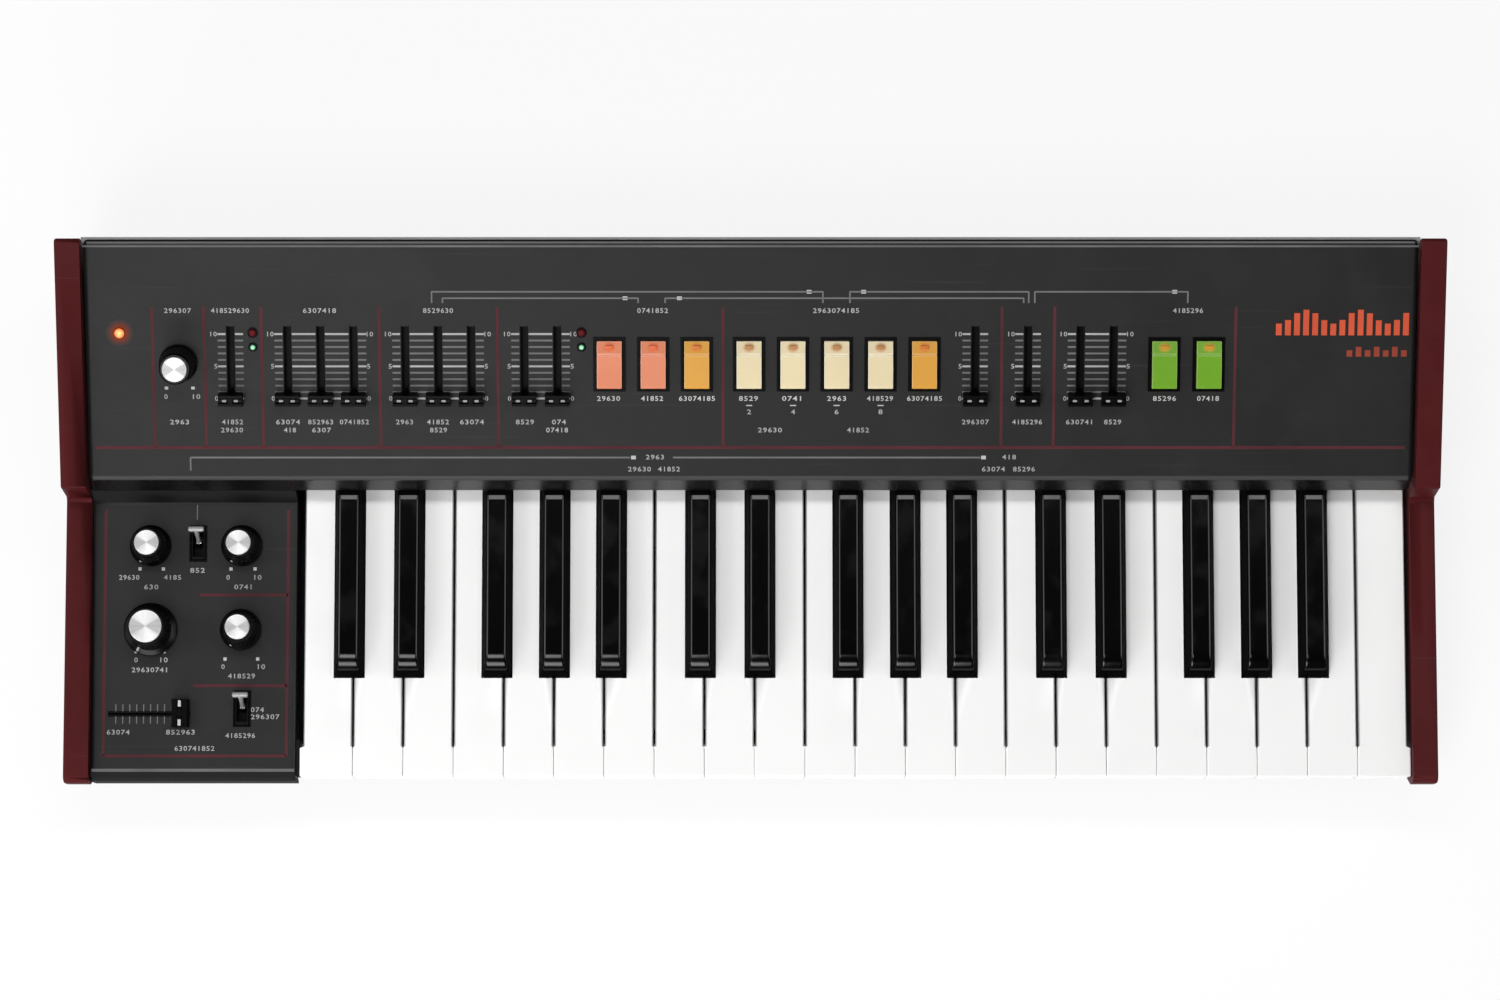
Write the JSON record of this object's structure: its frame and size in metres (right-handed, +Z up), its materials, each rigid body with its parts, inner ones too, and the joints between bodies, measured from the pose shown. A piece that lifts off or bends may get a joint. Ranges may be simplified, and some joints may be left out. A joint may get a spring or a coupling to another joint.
{
  "type": "analog synthesizer",
  "caption": "Small keyboard synthesizer with a sloped panel of sliders and tab buttons, a left plate of knobs and switches, and side cheeks.",
  "frame": {"origin": "centre of the footprint, on the surface that the rubber feet stand on", "axes": "+X to the player's right along the keys, +Y away from the player to the rear sockets, +Z up"},
  "size_m": [0.6414, 0.246, 0.1128],
  "materials": {
    "charcoal_paint": "satin dark grey paint on folded steel",
    "burgundy_paint": "satin dark red paint on moulded side cheeks",
    "black_steel": "black powder coat",
    "white_plastic": "glossy white key",
    "black_plastic": "glossy black",
    "knob_black": "satin black with a spun aluminium cap",
    "salmon_plastic": "satin salmon",
    "orange_plastic": "satin orange",
    "cream_plastic": "satin cream",
    "green_plastic": "satin green",
    "satin_metal": "satin plated metal lever",
    "board_green": "solder mask on circuit board",
    "frame_grey": "moulded grey",
    "socket_black": "moulded black with plated nuts",
    "foot_rubber": "matt black rubber"
  },
  "bodies": {
    "case": {"bottom_pan": "black_steel", "top_panel": "charcoal_paint", "control_plate": "charcoal_paint", "left_cheek": "burgundy_paint", "right_cheek": "burgundy_paint", "key_frame": "frame_grey", "circuit_boards": "board_green", "rear_connectors": "socket_black", "front_foot": "foot_rubber", "rear_foot": "foot_rubber"},
    "white_key_01": {"white_key_01": "white_plastic"},
    "white_key_02": {"white_key_02": "white_plastic"},
    "white_key_03": {"white_key_03": "white_plastic"},
    "white_key_04": {"white_key_04": "white_plastic"},
    "white_key_05": {"white_key_05": "white_plastic"},
    "white_key_06": {"white_key_06": "white_plastic"},
    "white_key_07": {"white_key_07": "white_plastic"},
    "white_key_08": {"white_key_08": "white_plastic"},
    "white_key_09": {"white_key_09": "white_plastic"},
    "white_key_10": {"white_key_10": "white_plastic"},
    "white_key_11": {"white_key_11": "white_plastic"},
    "white_key_12": {"white_key_12": "white_plastic"},
    "white_key_13": {"white_key_13": "white_plastic"},
    "white_key_14": {"white_key_14": "white_plastic"},
    "white_key_15": {"white_key_15": "white_plastic"},
    "white_key_16": {"white_key_16": "white_plastic"},
    "white_key_17": {"white_key_17": "white_plastic"},
    "white_key_18": {"white_key_18": "white_plastic"},
    "white_key_19": {"white_key_19": "white_plastic"},
    "white_key_20": {"white_key_20": "white_plastic"},
    "white_key_21": {"white_key_21": "white_plastic"},
    "white_key_22": {"white_key_22": "white_plastic"},
    "black_key_01": {"black_key_01": "black_plastic"},
    "black_key_02": {"black_key_02": "black_plastic"},
    "black_key_03": {"black_key_03": "black_plastic"},
    "black_key_04": {"black_key_04": "black_plastic"},
    "black_key_05": {"black_key_05": "black_plastic"},
    "black_key_06": {"black_key_06": "black_plastic"},
    "black_key_07": {"black_key_07": "black_plastic"},
    "black_key_08": {"black_key_08": "black_plastic"},
    "black_key_09": {"black_key_09": "black_plastic"},
    "black_key_10": {"black_key_10": "black_plastic"},
    "black_key_11": {"black_key_11": "black_plastic"},
    "black_key_12": {"black_key_12": "black_plastic"},
    "black_key_13": {"black_key_13": "black_plastic"},
    "black_key_14": {"black_key_14": "black_plastic"},
    "black_key_15": {"black_key_15": "black_plastic"},
    "phones_knob": {"phones_knob": "knob_black"},
    "time_knob": {"time_knob": "knob_black"},
    "tune_knob": {"tune_knob": "knob_black"},
    "volume_knob": {"volume_knob": "knob_black"},
    "pitch_set_knob": {"pitch_set_knob": "knob_black"},
    "glide_toggle": {"glide_toggle": "satin_metal"},
    "hold_toggle": {"hold_toggle": "satin_metal"},
    "pitch_slider_cap": {"pitch_slider_cap": "black_plastic"},
    "slider_caps": {"slider_caps": "black_plastic"},
    "salmon_buttons": {"salmon_buttons": "salmon_plastic"},
    "orange_buttons": {"orange_buttons": "orange_plastic"},
    "cream_buttons": {"cream_buttons": "cream_plastic"},
    "green_buttons": {"green_buttons": "green_plastic"}
  },
  "joints": [
    {"name": "white_key_01_pivot", "type": "hinge", "parent": "case", "child": "white_key_01", "pos_m": [-0.19785, 0.07, 0.044], "axis": [1, 0, 0], "range_deg": [0, 3.1], "stiffness_Nm_per_rad": 1.2, "springref_deg": -8.59},
    {"name": "white_key_02_pivot", "type": "hinge", "parent": "case", "child": "white_key_02", "pos_m": [-0.17435, 0.07, 0.044], "axis": [1, 0, 0], "range_deg": [0, 3.1], "stiffness_Nm_per_rad": 1.2, "springref_deg": -8.59},
    {"name": "white_key_03_pivot", "type": "hinge", "parent": "case", "child": "white_key_03", "pos_m": [-0.15085, 0.07, 0.044], "axis": [1, 0, 0], "range_deg": [0, 3.1], "stiffness_Nm_per_rad": 1.2, "springref_deg": -8.59},
    {"name": "white_key_04_pivot", "type": "hinge", "parent": "case", "child": "white_key_04", "pos_m": [-0.12735, 0.07, 0.044], "axis": [1, 0, 0], "range_deg": [0, 3.1], "stiffness_Nm_per_rad": 1.2, "springref_deg": -8.59},
    {"name": "white_key_05_pivot", "type": "hinge", "parent": "case", "child": "white_key_05", "pos_m": [-0.10385, 0.07, 0.044], "axis": [1, 0, 0], "range_deg": [0, 3.1], "stiffness_Nm_per_rad": 1.2, "springref_deg": -8.59},
    {"name": "white_key_06_pivot", "type": "hinge", "parent": "case", "child": "white_key_06", "pos_m": [-0.08035, 0.07, 0.044], "axis": [1, 0, 0], "range_deg": [0, 3.1], "stiffness_Nm_per_rad": 1.2, "springref_deg": -8.59},
    {"name": "white_key_07_pivot", "type": "hinge", "parent": "case", "child": "white_key_07", "pos_m": [-0.05685, 0.07, 0.044], "axis": [1, 0, 0], "range_deg": [0, 3.1], "stiffness_Nm_per_rad": 1.2, "springref_deg": -8.59},
    {"name": "white_key_08_pivot", "type": "hinge", "parent": "case", "child": "white_key_08", "pos_m": [-0.03335, 0.07, 0.044], "axis": [1, 0, 0], "range_deg": [0, 3.1], "stiffness_Nm_per_rad": 1.2, "springref_deg": -8.59},
    {"name": "white_key_09_pivot", "type": "hinge", "parent": "case", "child": "white_key_09", "pos_m": [-0.00985, 0.07, 0.044], "axis": [1, 0, 0], "range_deg": [0, 3.1], "stiffness_Nm_per_rad": 1.2, "springref_deg": -8.59},
    {"name": "white_key_10_pivot", "type": "hinge", "parent": "case", "child": "white_key_10", "pos_m": [0.01365, 0.07, 0.044], "axis": [1, 0, 0], "range_deg": [0, 3.1], "stiffness_Nm_per_rad": 1.2, "springref_deg": -8.59},
    {"name": "white_key_11_pivot", "type": "hinge", "parent": "case", "child": "white_key_11", "pos_m": [0.03715, 0.07, 0.044], "axis": [1, 0, 0], "range_deg": [0, 3.1], "stiffness_Nm_per_rad": 1.2, "springref_deg": -8.59},
    {"name": "white_key_12_pivot", "type": "hinge", "parent": "case", "child": "white_key_12", "pos_m": [0.06065, 0.07, 0.044], "axis": [1, 0, 0], "range_deg": [0, 3.1], "stiffness_Nm_per_rad": 1.2, "springref_deg": -8.59},
    {"name": "white_key_13_pivot", "type": "hinge", "parent": "case", "child": "white_key_13", "pos_m": [0.08415, 0.07, 0.044], "axis": [1, 0, 0], "range_deg": [0, 3.1], "stiffness_Nm_per_rad": 1.2, "springref_deg": -8.59},
    {"name": "white_key_14_pivot", "type": "hinge", "parent": "case", "child": "white_key_14", "pos_m": [0.10765, 0.07, 0.044], "axis": [1, 0, 0], "range_deg": [0, 3.1], "stiffness_Nm_per_rad": 1.2, "springref_deg": -8.59},
    {"name": "white_key_15_pivot", "type": "hinge", "parent": "case", "child": "white_key_15", "pos_m": [0.13115, 0.07, 0.044], "axis": [1, 0, 0], "range_deg": [0, 3.1], "stiffness_Nm_per_rad": 1.2, "springref_deg": -8.59},
    {"name": "white_key_16_pivot", "type": "hinge", "parent": "case", "child": "white_key_16", "pos_m": [0.15465, 0.07, 0.044], "axis": [1, 0, 0], "range_deg": [0, 3.1], "stiffness_Nm_per_rad": 1.2, "springref_deg": -8.59},
    {"name": "white_key_17_pivot", "type": "hinge", "parent": "case", "child": "white_key_17", "pos_m": [0.17815, 0.07, 0.044], "axis": [1, 0, 0], "range_deg": [0, 3.1], "stiffness_Nm_per_rad": 1.2, "springref_deg": -8.59},
    {"name": "white_key_18_pivot", "type": "hinge", "parent": "case", "child": "white_key_18", "pos_m": [0.20165, 0.07, 0.044], "axis": [1, 0, 0], "range_deg": [0, 3.1], "stiffness_Nm_per_rad": 1.2, "springref_deg": -8.59},
    {"name": "white_key_19_pivot", "type": "hinge", "parent": "case", "child": "white_key_19", "pos_m": [0.22515, 0.07, 0.044], "axis": [1, 0, 0], "range_deg": [0, 3.1], "stiffness_Nm_per_rad": 1.2, "springref_deg": -8.59},
    {"name": "white_key_20_pivot", "type": "hinge", "parent": "case", "child": "white_key_20", "pos_m": [0.24865, 0.07, 0.044], "axis": [1, 0, 0], "range_deg": [0, 3.1], "stiffness_Nm_per_rad": 1.2, "springref_deg": -8.59},
    {"name": "white_key_21_pivot", "type": "hinge", "parent": "case", "child": "white_key_21", "pos_m": [0.27215, 0.07, 0.044], "axis": [1, 0, 0], "range_deg": [0, 3.1], "stiffness_Nm_per_rad": 1.2, "springref_deg": -8.59},
    {"name": "white_key_22_pivot", "type": "hinge", "parent": "case", "child": "white_key_22", "pos_m": [0.29565, 0.07, 0.044], "axis": [1, 0, 0], "range_deg": [0, 3.1], "stiffness_Nm_per_rad": 1.2, "springref_deg": -8.59},
    {"name": "black_key_01_pivot", "type": "hinge", "parent": "case", "child": "black_key_01", "pos_m": [-0.188, 0.07, 0.044], "axis": [1, 0, 0], "range_deg": [0, 3.1], "stiffness_Nm_per_rad": 1.2, "springref_deg": -8.59},
    {"name": "black_key_02_pivot", "type": "hinge", "parent": "case", "child": "black_key_02", "pos_m": [-0.1601, 0.07, 0.044], "axis": [1, 0, 0], "range_deg": [0, 3.1], "stiffness_Nm_per_rad": 1.2, "springref_deg": -8.59},
    {"name": "black_key_03_pivot", "type": "hinge", "parent": "case", "child": "black_key_03", "pos_m": [-0.1188, 0.07, 0.044], "axis": [1, 0, 0], "range_deg": [0, 3.1], "stiffness_Nm_per_rad": 1.2, "springref_deg": -8.59},
    {"name": "black_key_04_pivot", "type": "hinge", "parent": "case", "child": "black_key_04", "pos_m": [-0.0919, 0.07, 0.044], "axis": [1, 0, 0], "range_deg": [0, 3.1], "stiffness_Nm_per_rad": 1.2, "springref_deg": -8.59},
    {"name": "black_key_05_pivot", "type": "hinge", "parent": "case", "child": "black_key_05", "pos_m": [-0.0653, 0.07, 0.044], "axis": [1, 0, 0], "range_deg": [0, 3.1], "stiffness_Nm_per_rad": 1.2, "springref_deg": -8.59},
    {"name": "black_key_06_pivot", "type": "hinge", "parent": "case", "child": "black_key_06", "pos_m": [-0.0235, 0.07, 0.044], "axis": [1, 0, 0], "range_deg": [0, 3.1], "stiffness_Nm_per_rad": 1.2, "springref_deg": -8.59},
    {"name": "black_key_07_pivot", "type": "hinge", "parent": "case", "child": "black_key_07", "pos_m": [0.0044, 0.07, 0.044], "axis": [1, 0, 0], "range_deg": [0, 3.1], "stiffness_Nm_per_rad": 1.2, "springref_deg": -8.59},
    {"name": "black_key_08_pivot", "type": "hinge", "parent": "case", "child": "black_key_08", "pos_m": [0.0457, 0.07, 0.044], "axis": [1, 0, 0], "range_deg": [0, 3.1], "stiffness_Nm_per_rad": 1.2, "springref_deg": -8.59},
    {"name": "black_key_09_pivot", "type": "hinge", "parent": "case", "child": "black_key_09", "pos_m": [0.0726, 0.07, 0.044], "axis": [1, 0, 0], "range_deg": [0, 3.1], "stiffness_Nm_per_rad": 1.2, "springref_deg": -8.59},
    {"name": "black_key_10_pivot", "type": "hinge", "parent": "case", "child": "black_key_10", "pos_m": [0.0992, 0.07, 0.044], "axis": [1, 0, 0], "range_deg": [0, 3.1], "stiffness_Nm_per_rad": 1.2, "springref_deg": -8.59},
    {"name": "black_key_11_pivot", "type": "hinge", "parent": "case", "child": "black_key_11", "pos_m": [0.141, 0.07, 0.044], "axis": [1, 0, 0], "range_deg": [0, 3.1], "stiffness_Nm_per_rad": 1.2, "springref_deg": -8.59},
    {"name": "black_key_12_pivot", "type": "hinge", "parent": "case", "child": "black_key_12", "pos_m": [0.1689, 0.07, 0.044], "axis": [1, 0, 0], "range_deg": [0, 3.1], "stiffness_Nm_per_rad": 1.2, "springref_deg": -8.59},
    {"name": "black_key_13_pivot", "type": "hinge", "parent": "case", "child": "black_key_13", "pos_m": [0.2102, 0.07, 0.044], "axis": [1, 0, 0], "range_deg": [0, 3.1], "stiffness_Nm_per_rad": 1.2, "springref_deg": -8.59},
    {"name": "black_key_14_pivot", "type": "hinge", "parent": "case", "child": "black_key_14", "pos_m": [0.2371, 0.07, 0.044], "axis": [1, 0, 0], "range_deg": [0, 3.1], "stiffness_Nm_per_rad": 1.2, "springref_deg": -8.59},
    {"name": "black_key_15_pivot", "type": "hinge", "parent": "case", "child": "black_key_15", "pos_m": [0.2637, 0.07, 0.044], "axis": [1, 0, 0], "range_deg": [0, 3.1], "stiffness_Nm_per_rad": 1.2, "springref_deg": -8.59},
    {"name": "phones_knob_turn", "type": "hinge", "parent": "case", "child": "phones_knob", "pos_m": [-0.265, 0.06767, 0.09073], "axis": [0, 0.3064, -0.9519], "range_deg": [0, 300]},
    {"name": "time_knob_turn", "type": "hinge", "parent": "case", "child": "time_knob", "pos_m": [-0.2816, -0.0135, 0.0505], "axis": [0, 0, -1], "range_deg": [0, 300]},
    {"name": "tune_knob_turn", "type": "hinge", "parent": "case", "child": "tune_knob", "pos_m": [-0.2388, -0.0135, 0.0505], "axis": [0, 0, -1], "range_deg": [0, 300]},
    {"name": "volume_knob_turn", "type": "hinge", "parent": "case", "child": "volume_knob", "pos_m": [-0.2389, -0.053, 0.0505], "axis": [0, 0, -1], "range_deg": [0, 300]},
    {"name": "pitch_set_knob_turn", "type": "hinge", "parent": "case", "child": "pitch_set_knob", "pos_m": [-0.2811, -0.053, 0.0505], "axis": [0, 0, -1], "range_deg": [0, 300]},
    {"name": "glide_toggle_tilt", "type": "hinge", "parent": "case", "child": "glide_toggle", "pos_m": [-0.2594, -0.0124, 0.045], "axis": [1, 0, 0], "range_deg": [0, 40]},
    {"name": "hold_toggle_tilt", "type": "hinge", "parent": "case", "child": "hold_toggle", "pos_m": [-0.238, -0.09, 0.045], "axis": [1, 0, 0], "range_deg": [0, 40]},
    {"name": "pitch_slider_travel", "type": "slide", "parent": "case", "child": "pitch_slider_cap", "axis": [-1, 0, 0], "range_m": [0, 0.03]},
    {"name": "slider_travel", "type": "slide", "parent": "case", "child": "slider_caps", "axis": [0, 0.9519, 0.3064], "range_m": [0, 0.03]},
    {"name": "salmon_buttons_press", "type": "slide", "parent": "case", "child": "salmon_buttons", "axis": [0, 0.3064, -0.9519], "range_m": [0, 0.002], "stiffness_N_per_m": 400, "springref_m": -0.002},
    {"name": "orange_buttons_press", "type": "slide", "parent": "case", "child": "orange_buttons", "axis": [0, 0.3064, -0.9519], "range_m": [0, 0.002], "stiffness_N_per_m": 400, "springref_m": -0.002},
    {"name": "cream_buttons_press", "type": "slide", "parent": "case", "child": "cream_buttons", "axis": [0, 0.3064, -0.9519], "range_m": [0, 0.002], "stiffness_N_per_m": 400, "springref_m": -0.002},
    {"name": "green_buttons_press", "type": "slide", "parent": "case", "child": "green_buttons", "axis": [0, 0.3064, -0.9519], "range_m": [0, 0.002], "stiffness_N_per_m": 400, "springref_m": -0.002}
  ]
}
